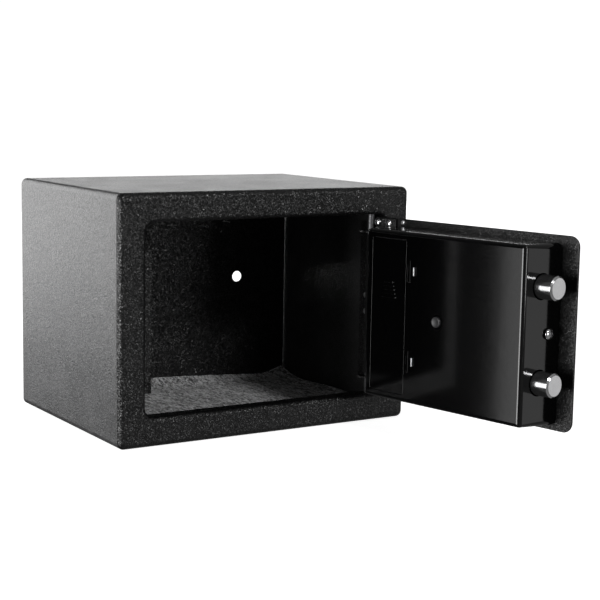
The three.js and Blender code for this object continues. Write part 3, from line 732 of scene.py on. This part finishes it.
def rivets_and_lugs():
    for node in ("jamb_rivet_lower", "jamb_rivet_upper"):
        low, high = span(node)
        z = (low.z + high.z) / 2
        y = (low.y + high.y) / 2
        r = (high.z - low.z) / 2
        seat = low.x + 1.1 * MM
        dome = [(0, low.x)]
        dome += [(r * math.sin(a), seat - 1.1 * MM * math.cos(a)) for a in (0.35, 0.7, 1.05, 1.35)]
        profile = dome + [(r, seat), (1.2 * MM, seat), (1.2 * MM, high.x), (0, high.x)]
        piece(f"{node}_head", along_x(lathe(profile, 32), y, z), "case", "zinc", [node])
    for node in ("hinge_lug_upper", "hinge_lug_lower"):
        low, high = span(node)
        r = 2.9 * MM
        bore = rod(r, low.z - MM, high.z + MM, 32)
        bm = carved(block(low, high, 0.8 * MM), [along_z(bore, hinge.x, hinge.y)])
        # The lugs take the zinc darkened as painted shade.
        piece(f"{node}_block", bm, "case", "zinc_painted_shade", [node])


def floor_mat():
    """A felt sheet laid in the case: it climbs a little at the back wall, most in the back corners."""
    low, high = span("floor_mat")
    thick = 3 * MM
    columns, rows = 150, 110
    base = low.z

    def height(x, y):
        back = max(0.0, (y - (high.y - 24 * MM)) / (24 * MM))
        climb = (5.6 - 5.0 * min(max(x / (93 * MM), 0), 1)) * MM
        corner = 3.6 * MM * math.exp(-(((x - high.x) / 0.012) ** 2) - ((y - high.y) / 0.016) ** 2)
        side = max(0.0, (abs(x) - (high.x - 18 * MM)) / (18 * MM)) ** 2
        ripple = (0.9 + 0.9 * math.cos(y * 62)) * MM * side
        slow = 0.25 * MM * noise.noise(Vector((x * 30, y * 30, 0)))
        return base + climb * back**2 + corner + ripple + max(slow, 0)

    bm = bmesh.new()
    top, under = [], []
    for j in range(rows + 1):
        y = low.y + (high.y - low.y) * j / rows
        for i in range(columns + 1):
            x = low.x + (high.x - low.x) * i / columns
            z = height(x, y)
            tuft = 0.22 * MM * noise.noise(Vector((x * 620, y * 620, 3)))
            tuft += 0.16 * MM * noise.noise(Vector((x * 1500, y * 1500, 7)))
            under.append(bm.verts.new((x, y, z)))
            top.append(bm.verts.new((x, y, z + thick + tuft)))
    wide = columns + 1
    for j in range(rows):
        for i in range(columns):
            a = j * wide + i
            bm.faces.new((top[a], top[a + 1], top[a + 1 + wide], top[a + wide]))
            bm.faces.new((under[a], under[a + wide], under[a + 1 + wide], under[a + 1]))
    border = list(range(columns))
    border += [j * wide + columns for j in range(rows)]
    border += [rows * wide + i for i in range(columns, 0, -1)]
    border += [j * wide for j in range(rows, 0, -1)]
    for a, b in zip(border, border[1:] + border[:1]):
        bm.faces.new((under[a], under[b], top[b], top[a]))
    bmesh.ops.recalc_face_normals(bm, faces=bm.faces)
    mat = piece("felt_mat", bm, "case", "felt", ["floor_mat"], smooth=60)


# ---------------------------------------------------------------- door and hinge
def door_plate():
    low, high = span("door_plate", DOOR)
    pairs = quarter_round(low.y, 2.5 * MM, 1, steps=8)
    pairs += reversed(quarter_round(high.y, 0.45 * MM, -1))
    plate = panel((low.x, high.x, low.z, high.z, 7 * MM), pairs, 10)
    holes = []
    for node, radius in (("knob_shaft", 4.4 * MM), ("lock_cylinder", 8.3 * MM)):
        n_low, n_high = span(node, DOOR)
        # The crank hangs off the shaft, so the shaft's own axis comes from its joint.
        x = (DOOR.inverted() @ Vector(joints["knob_turn"]["pos_m"])).x
        z = joints["knob_turn"]["pos_m"][2]
        if node == "lock_cylinder":
            x, z = (n_low.x + n_high.x) / 2, (n_low.z + n_high.z) / 2
        hole = rod(radius, -0.02, 0.01, 40)
        holes.append(along_y(hole, x, z))
    plate = carved(plate, holes)
    # The plate takes the hammered coat darkened as painted shade.
    piece("door_plate_skin", plate, "door", "door_paint_painted_shade", ["door_plate"], DOOR)


def cross_head(radius, seat, dome, shank, tail, steps=40):
    """A domed cross-head screw about y, its head above seat and its shank down to tail."""
    curve = []
    for i in range(7):
        a = i / 6 * math.pi / 2
        curve.append((radius * math.cos(a), seat + 0.25 * dome + 0.75 * dome * math.sin(a)))
    curve[-1] = (0, seat + dome)
    profile = [(0, tail), (shank, tail), (shank, seat), (radius * 0.96, seat), *curve]
    head = lathe(profile, steps)
    slots = []
    for turn in (0, math.pi / 2):
        wing = block(
            (-0.55 * radius, seat + 0.35 * dome, -0.13 * radius),
            (0.55 * radius, seat + 2 * dome, 0.13 * radius),
            0.03 * radius,
            1,
        )
        slots.append(moved(wing, Matrix.Rotation(turn + 0.4, 4, "Y")))
    return carved(head, slots)


def hinge_parts():
    for place_name, turn in (("upper", 1), ("lower", -1)):
        node = f"hinge_bracket_{place_name}"
        low, high = span(node, DOOR)
        sheet = 1.8 * MM
        shelf_low = low.z if turn > 0 else high.z - sheet
        shelf = block((low.x, low.y, shelf_low), (high.x, high.y, shelf_low + sheet), 0.45 * MM)
        leg = block((low.x, low.y, low.z), (-3.4 * MM, low.y + sheet, high.z), 0.45 * MM)
        bracket = carved(shelf, [leg], "UNION")
        r = 2.75 * MM
        bore = along_z(rod(r, 0.0, 0.2, 32), 0, 0)
        piece(f"{node}_fold", carved(bracket, [bore]), "door", "hammered", [node], DOOR)

        node = f"hinge_pin_{place_name}"
        low, high = span(node, DOOR)
        r = (high.x - low.x) / 2
        edge = 0.6 * MM
        profile = [(0, low.z), (r - edge, low.z), (r, low.z + edge)]
        profile += [(r, high.z - edge), (r - edge, high.z), (0, high.z)]
        pin = along_z(lathe(profile), 0, 0)
        # The pin takes the zinc darkened as painted shade.
        piece(f"{node}_turned", pin, "door", "zinc_painted_shade", [node], DOOR)

        for number in (1, 2):
            node = f"hinge_screw_{place_name}_{number}"
            low, high = span(node, DOOR)
            seat = high.y - 1.7 * MM
            screw = cross_head((high.x - low.x) / 2, seat, high.y - seat, 1.4 * MM, low.y)
            screw = along_y(screw, (low.x + high.x) / 2, (low.z + high.z) / 2)
            piece(f"{node}_head", screw, "door", "chrome", [node], DOOR)


# ---------------------------------------------------------------- door cover
COVER_EDGE = 3 * MM
COVER_WALL = 2 * MM
COVER_DRAFT = 2.5 * MM
COVER_LIFT = 2.9 * MM
PULL_U = 66.2 * MM
PULL_REACH = 8.8 * MM
PULL_HALF = 7.5 * MM
PULLS_Z = (56 * MM, 118 * MM)
HINGE_RIVET = (-28.8 * MM, 146.3 * MM)
BOLT_GAP = 0.75 * MM


def half_moon(z, pairs):
    """A half-disc prism whose flat side faces the battery lid, through (y, growth) pairs."""
    rings = []
    for y, grow in pairs:
        flat = -PULL_U + 0.5 * grow
        reach = PULL_REACH + 1.5 * grow
        half = PULL_HALF + grow
        turns = [math.pi / 2 + i / 24 * math.pi for i in range(25)]
        rings.append([Vector((flat + reach * math.cos(a), y, z + half * math.sin(a))) for a in turns])
    return skin(rings)


def flared_cut(outline, top, floor, lip):
    """A cutter for a rounded opening with a softened lip at its top."""
    pairs = [(top + MM, -lip), (top, -lip), (top - 0.35 * lip, -0.3 * lip), (top - lip, 0), (floor, 0)]
    return panel(outline, pairs, 6)


def cover_solid(outline, foot, top, edge, wall):
    """The cover's outside, or with a wall its inside: tapered, but with a level upper face."""
    x0, x1, z0, z1, corner = outline
    rings = [rounded(x0, x1, z0, z1, corner, y, inset + wall, 10) for y, inset in foot]
    for y, inset in reversed(quarter_round(top, edge, -1, COVER_DRAFT + wall, 10)):
        rings.append(rounded(x0, x1, z0, z1 + COVER_LIFT, corner, y, inset, 10))
    return skin(rings)


def door_cover():
    low, high = span("door_cover", DOOR)
    top = high.y
    outline = (low.x, high.x, low.z, high.z - COVER_LIFT + COVER_DRAFT, 5 * MM)
    rim = 0.35 * MM
    outside = cover_solid(outline, [(low.y, rim), (low.y + rim, 0)], top, COVER_EDGE, 0)
    inside = cover_solid(outline, [(low.y - MM, 0), (low.y + MM, 0)], top - COVER_WALL, 1.5 * MM, COVER_WALL)
    lid_low, lid_high = span("battery_cover", DOOR)
    seam = 0.45 * MM
    bay = (lid_low.x - seam, lid_high.x + seam, lid_low.z - seam, lid_high.z + seam, 1.2 * MM)
    reset_low, reset_high = span("reset_button", DOOR)
    well = 4.1 * MM
    profile = [(0, top - 5 * MM), (well, top - 5 * MM), (well, top - 0.5 * MM)]
    profile += [(well + 0.8 * MM, top), (well + 0.8 * MM, top + MM), (0, top + MM)]
    reset = along_y(lathe(profile), (reset_low.x + reset_high.x) / 2, (reset_low.z + reset_high.z) / 2)
    cutters = [inside, flared_cut(bay, top, top - 6 * MM, 0.1 * MM), reset]
    for z in PULLS_Z:
        slope = [(top - 1.3 * MM, -0.3 * MM), (top - 0.6 * MM, -0.2 * MM), (top + 0.2 * MM, 0.5 * MM)]
        cutters.append(half_moon(z, slope))
    for node in ("bolt_lower", "bolt_upper"):
        b_low, b_high = span(node, DOOR)
        r = (b_high.z - b_low.z) / 2 + BOLT_GAP
        hole = rod(r, 0.155, 0.18, 64)
        cutters.append(along_u(hole, (b_low.y + b_high.y) / 2, (b_low.z + b_high.z) / 2))
    s_low, s_high = span("cover_screw", DOOR)
    hole = rod(1.8 * MM, 0.155, 0.18, 24)
    cutters.append(along_u(hole, (s_low.y + s_high.y) / 2, (s_low.z + s_high.z) / 2))
    piece("door_cover_shell", carved(outside, cutters), "door", "gloss", ["door_cover"], DOOR)


def cover_details():
    """The clips in the finger recesses, and a rivet above the cover beside the hinge."""
    top = span("door_cover", DOOR)[1].y
    for number, z in enumerate(PULLS_Z, 1):
        clip_low = (-71.8 * MM, top - 1.35 * MM, z - 3 * MM)
        clip_high = (-70.4 * MM, top - 0.2 * MM, z + 3 * MM)
        clip = block(clip_low, clip_high, 0.4 * MM)
        piece(f"recess_clip_{number}", clip, "door", "zinc", place=DOOR)
    seat = span("door_plate", DOOR)[1].y
    r = 1.8 * MM
    profile = [(0, seat), (r, seat), (r, seat + 0.5 * MM), (0.8 * r, seat + 0.95 * MM)]
    profile += [(0.5 * r, seat + 1.1 * MM), (0.35 * r, seat + 0.8 * MM), (0, seat + 0.75 * MM)]
    rivet = along_y(lathe(profile, 32), *HINGE_RIVET)
    piece("hinge_rivet", rivet, "door", "zinc", place=DOOR)


def battery_lid():
    low, high = span("battery_cover", DOOR)
    top = high.y - 0.6 * MM
    pairs = [(top - 1.8 * MM, 0), *quarter_round(top, 0.12 * MM, -1, 0, 4)[::-1]]
    lid = panel((low.x, high.x, low.z, high.z, 1 * MM), pairs, 6)
    ribs = []
    middle = (low.x + high.x) / 2
    for i in range(5):
        z = 98 * MM + 2.6 * MM * i
        half = (7 - 0.7 * i) * MM
        rib_low = (middle - half, top - 0.2 * MM, z)
        rib_high = (middle + half, top + 0.5 * MM, z + 1.2 * MM)
        ribs.append(block(rib_low, rib_high, 0.35 * MM))
    lid = joined([lid, *ribs])
    piece("battery_lid_panel", lid, "battery_lid", "gloss", ["battery_cover"], DOOR)


def cells_and_tray():
    """The tray with rounded walls, and the four cells."""
    low, high = span("battery_tray", DOOR)
    wall = 1.3 * MM
    outside = block(low, high, 0.5 * MM)
    inside = block(low + Vector((wall, wall, wall)), high + Vector((-wall, 3 * MM, -wall)), 1.2 * MM)
    tray = carved(outside, [inside])
    piece("battery_tray_shell", tray, "door", "plastic", ["battery_tray"], DOOR)
    for number in (1, 2, 3, 4):
        node = f"aa_cell_{number}"
        low, high = span(node, DOOR)
        up = number < 3
        length = high.z - low.z
        r = (high.x - low.x) / 2
        nub = 2.7 * MM
        edge = 0.6 * MM
        profile = [
            (0, 0), (r - 1.6 * MM, 0), (r - 1.4 * MM, 0.3 * MM), (r - edge, 0.2 * MM), (r, edge),
            (r, length - 1.5 * MM - edge), (r - edge, length - 1.4 * MM), (r - 1.6 * MM, length - 1.5 * MM),
            (nub, length - 1.4 * MM), (nub, length - 0.4 * MM), (nub - 0.4 * MM, length), (0, length),
        ]
        cell = lathe(profile, 48)
        if up:
            cell = moved(cell, Matrix.Translation((0, 0, low.z)) @ Matrix.Rotation(math.pi / 2, 4, "X"))
        else:
            cell = moved(cell, Matrix.Translation((0, 0, high.z)) @ Matrix.Rotation(-math.pi / 2, 4, "X"))
        cell = moved(cell, Matrix.Translation(((low.x + high.x) / 2, (low.y + high.y) / 2, 0)))
        obj = piece(f"{node}_foil", cell, "door", "wrap", [node], DOOR)
        obj.data.materials.append(looks["chrome"])
        for face in obj.data.polygons:
            z = (DOOR.inverted() @ face.center).z
            from_foot = z - low.z if up else high.z - z
            radial = abs(face.normal.z) > 0.5
            if radial or from_foot > length - 1.6 * MM:
                face.material_index = 1


# ---------------------------------------------------------------- bolts and side screw
def bolts():
    for node in ("bolt_lower", "bolt_upper"):
        low, high = span(node, DOOR)
        r = (high.z - low.z) / 2
        tail, tip = -high.x, -low.x
        soft = 0.25 * MM
        chamfer = 1.2 * MM
        profile = [
            (0, tail), (r - soft, tail), (r, tail + soft),
            (r, tip - chamfer - soft), (r - 0.2 * soft, tip - chamfer),
            (r - chamfer, tip - 0.2 * soft), (r - chamfer - soft, tip), (0.35 * r, tip), (0, tip),
        ]
        bolt = along_u(lathe(profile, 96), (low.y + high.y) / 2, (low.z + high.z) / 2)
        obj = piece(f"{node}_bar", bolt, "bolt_work", "chrome", [node], DOOR, smooth=25)
        obj.data.materials.append(looks["turned_face"])
        for face in obj.data.polygons:
            if face.normal.dot(along) > 0.95:
                face.material_index = 1


def side_screw():
    low, high = span("cover_screw", DOOR)
    tail, tip = -high.x, -low.x
    seat = tip - 2.2 * MM
    screw = cross_head((high.z - low.z) / 2, seat, tip - seat, 1.4 * MM, tail)
    screw = along_u(screw, (low.y + high.y) / 2, (low.z + high.z) / 2)
    piece("cover_screw_head", screw, "door", "chrome", ["cover_screw"], DOOR)


def reset_button():
    low, high = span("reset_button", DOOR)
    r = (high.x - low.x) / 2
    top = high.y
    profile = [(0, low.y), (2 * MM, low.y), (2 * MM, 27.5 * MM), (r, 27.5 * MM), (r, top - 0.7 * MM)]
    profile += [(r - 0.2 * MM, top - 0.2 * MM), (r - 0.7 * MM, top)]
    profile += [(0.55 * r, top - 0.25 * MM), (0, top - 0.4 * MM)]
    button = along_y(lathe(profile, 40), (low.x + high.x) / 2, (low.z + high.z) / 2)
    piece("reset_button_cap", button, "reset", "plastic", ["reset_button"], DOOR)


# ---------------------------------------------------------------- outer side of the door
KEY_NAMES = ("1", "2", "3", "4", "5", "6", "7", "8", "9", "star", "0", "hash")


def numeral(text, size, x, y, z):
    """A thin raised character facing out of the door, its reading direction along local +x."""
    curve = bpy.data.curves.new("numeral", "FONT")
    curve.body = text
    curve.size = size
    curve.align_x = "CENTER"
    curve.align_y = "CENTER"
    curve.extrude = 0.06 * MM
    obj = bpy.data.objects.new("numeral", curve)
    bpy.context.scene.collection.objects.link(obj)
    graph = bpy.context.evaluated_depsgraph_get()
    mesh = bpy.data.meshes.new_from_object(obj.evaluated_get(graph))
    bm = bmesh.new()
    bm.from_mesh(mesh)
    bpy.data.objects.remove(obj)
    bpy.data.curves.remove(curve)
    bpy.data.meshes.remove(mesh)
    return moved(bm, Matrix.Translation((x, y, z)) @ Matrix.Rotation(math.pi / 2, 4, "X"))


def keypad():
    low, high = span("keypad_panel", DOOR)
    pairs = quarter_round(low.y, 2 * MM, 1, steps=6) + [(high.y, 0)]
    face = panel((low.x, high.x, low.z, high.z, 6 * MM), pairs, 10)
    cutters = []
    for name in KEY_NAMES:
        k_low, k_high = span(f"key_{name}", DOOR)
        room = 0.4 * MM
        outline = (k_low.x - room, k_high.x + room, k_low.z - room, k_high.z + room, 2.4 * MM)
        lip = 0.3 * MM
        pairs = [(low.y - MM, -lip), (low.y, -lip), (low.y + lip, 0), (high.y + MM, 0)]
        cutters.append(panel(outline, pairs, 5))
    for colour in ("red", "yellow", "green"):
        l_low, l_high = span(f"lamp_{colour}", DOOR)
        r = (l_high.z - l_low.z) / 2 + 0.3 * MM
        hole = rod(r, low.y - MM, high.y + MM, 24)
        cutters.append(along_y(hole, (l_low.x + l_high.x) / 2, (l_low.z + l_high.z) / 2))
    piece("keypad_face", carved(face, cutters), "door", "plastic", ["keypad_panel"], DOOR)
    for name in KEY_NAMES:
        node = f"key_{name}"
        k_low, k_high = span(node, DOOR)
        edge = quarter_round(k_low.y, 0.9 * MM, 1, steps=5)
        pairs = [(k_low.y + 0.25 * MM, 2.2 * MM), *edge, (k_high.y, 0)]
        cap = panel((k_low.x, k_high.x, k_low.z, k_high.z, 2 * MM), pairs, 6)
        body = f"button_{name}"
        piece(f"{node}_cap", cap, body, "key", [node], DOOR)
        text = {"star": "*", "hash": "#"}.get(name, name)
        x, z = (k_low.x + k_high.x) / 2, (k_low.z + k_high.z) / 2
        drop = 1.1 * MM if name == "star" else 0
        mark = numeral(text, 6.4 * MM, x, k_low.y + 0.24 * MM, z - drop)
        piece(f"{node}_mark", mark, body, "ink", place=DOOR)
    for colour in ("red", "yellow", "green"):
        node = f"lamp_{colour}"
        l_low, l_high = span(node, DOOR)
        r = (l_high.z - l_low.z) / 2
        dome = [(r * math.sin(a), l_low.y + 1 * MM * (1 - math.cos(a))) for a in (0.3, 0.6, 0.9, 1.2, 1.5)]
        lens = lathe([(0, l_low.y), *dome, (r, l_high.y), (0, l_high.y)], 32)
        lens = along_y(lens, (l_low.x + l_high.x) / 2, (l_low.z + l_high.z) / 2)
        piece(f"{node}_lens", lens, "door", colour, [node], DOOR)


def knob():
    """A knob with a fluted rim, a rounded grip bar and a pointer line."""
    centre = DOOR.inverted() @ Vector(joints["knob_turn"]["pos_m"])
    low, high = span("knob", DOOR)
    r = (high.x - low.x) / 2
    flutes = 40
    steps = flutes * 6
    base = high.y
    crown = base - 4.4 * MM
    levels = [
        (base, 0.4), (base - 0.4 * MM, 0), (crown + 1.2 * MM, 0), (crown + 0.6 * MM, 0.2),
        (crown + 0.15 * MM, 0.7), (crown, 1.4), (crown + 0.4 * MM, 5.5),
    ]
    rings = []
    for y, inset in levels:
        depth = 0.35 * MM if inset < 0.3 else 0
        ring = []
        for i in range(steps):
            a = -2 * math.pi * i / steps
            rr = r - inset * MM - depth * (0.5 - 0.5 * math.cos(flutes * a))
            ring.append(Vector((rr * math.cos(a), y, rr * math.sin(a))))
        rings.append(ring)
    dish = skin(rings)
    grip_pairs = [*quarter_round(low.y, 1.8 * MM, 1, steps=6), (crown + 1 * MM, 0)]
    grip = panel((-4.5 * MM, 4.5 * MM, -15.5 * MM, 15.5 * MM, 4.4 * MM), grip_pairs, 10)
    bore = rod(4.3 * MM, -24.3 * MM, 0, 40)
    handle = carved(carved(dish, [grip], "UNION"), [bore])
    handle = along_y(handle, centre.x, centre.z)
    piece("knob_grip", handle, "knob", "plastic", ["knob"], DOOR)
    line = block((-0.6 * MM, low.y - 0.05 * MM, 3 * MM), (0.6 * MM, low.y + 0.3 * MM, 13 * MM), 0.15 * MM)
    piece("knob_pointer", along_y(line, centre.x, centre.z), "knob", "key", place=DOOR)
    b_low, b_high = span("knob_bezel", DOOR)
    outer = (b_high.x - b_low.x) / 2
    ring = [(4.8 * MM, b_high.y), (outer, b_high.y), (outer, b_low.y + 0.9 * MM)]
    ring += [(outer - 0.3 * MM, b_low.y + 0.3 * MM), (outer - 1 * MM, b_low.y), (4.8 * MM, b_low.y)]
    ring = along_y(lathe(ring, 96), centre.x, centre.z)
    piece("knob_bezel_ring", ring, "door", "chrome", ["knob_bezel"], DOOR)


def key_lock():
    low, high = span("lock_cylinder", DOOR)
    x, z = (low.x + high.x) / 2, (low.z + high.z) / 2
    flange = (high.x - low.x) / 2
    bore = 5.4 * MM
    profile = [
        (bore, low.y + 0.5 * MM),
        (bore + 0.6 * MM, low.y),
        (flange - 1.4 * MM, low.y),
        (flange - 0.4 * MM, low.y + 0.4 * MM),
        (flange, low.y + 1.1 * MM),
        (flange, -6.3 * MM),
        (8 * MM, -6.3 * MM),
        (8 * MM, high.y),
        (bore, high.y),
    ]
    barrel = along_y(lathe(profile, 64), x, z)
    piece("lock_cylinder_barrel", barrel, "door", "chrome", ["lock_cylinder"], DOOR)
    p_low, p_high = span("key_plug", DOOR)
    r = (p_high.x - p_low.x) / 2
    edge = 0.4 * MM
    plug = lathe([(0, p_low.y), (r - edge, p_low.y), (r, p_low.y + edge), (r, p_high.y), (0, p_high.y)], 48)
    keyway = block((-0.8 * MM, p_low.y - MM, -3.4 * MM), (0.8 * MM, 2 * MM, 3.4 * MM), 0.3 * MM)
    ward = block((0, p_low.y - MM, -1.2 * MM), (1.5 * MM, 2 * MM, 0.2 * MM), 0.2 * MM)
    plug = along_y(carved(plug, [carved(keyway, [ward], "UNION")]), x, z)
    piece("key_plug_face", plug, "key_lock", "brass", ["key_plug"], DOOR)


# ---------------------------------------------------------------- CAD pieces that stay
def dress_inner_pieces():
    finishes = {
        "zinc": ("lock_case", "solenoid", "bolt_carriage", "knob_shaft", "key_cam"),
        "chrome": ("solenoid_plunger",),
        "board": ("circuit_board",),
        "plastic": ("reset_switch", "solenoid_lead"),
        "key": ("keypad_ribbon",),
        "red": ("battery_lead",),
    }
    for look, nodes in finishes.items():
        for node in nodes:
            obj = frame["nodes"][node]
            obj.data.materials.clear()
            obj.data.materials.append(looks[look])


make_camera()
make_world()
make_lights()
make_floor()
looks = make_materials()
case_shell()
back_panel()
front_frame()
bolt_guard()
rivets_and_lugs()
floor_mat()
door_plate()
hinge_parts()
door_cover()
cover_details()
battery_lid()
cells_and_tray()
bolts()
side_screw()
reset_button()
keypad()
knob()
key_lock()
dress_inner_pieces()

bpy.context.scene.view_settings.view_transform = "Standard"
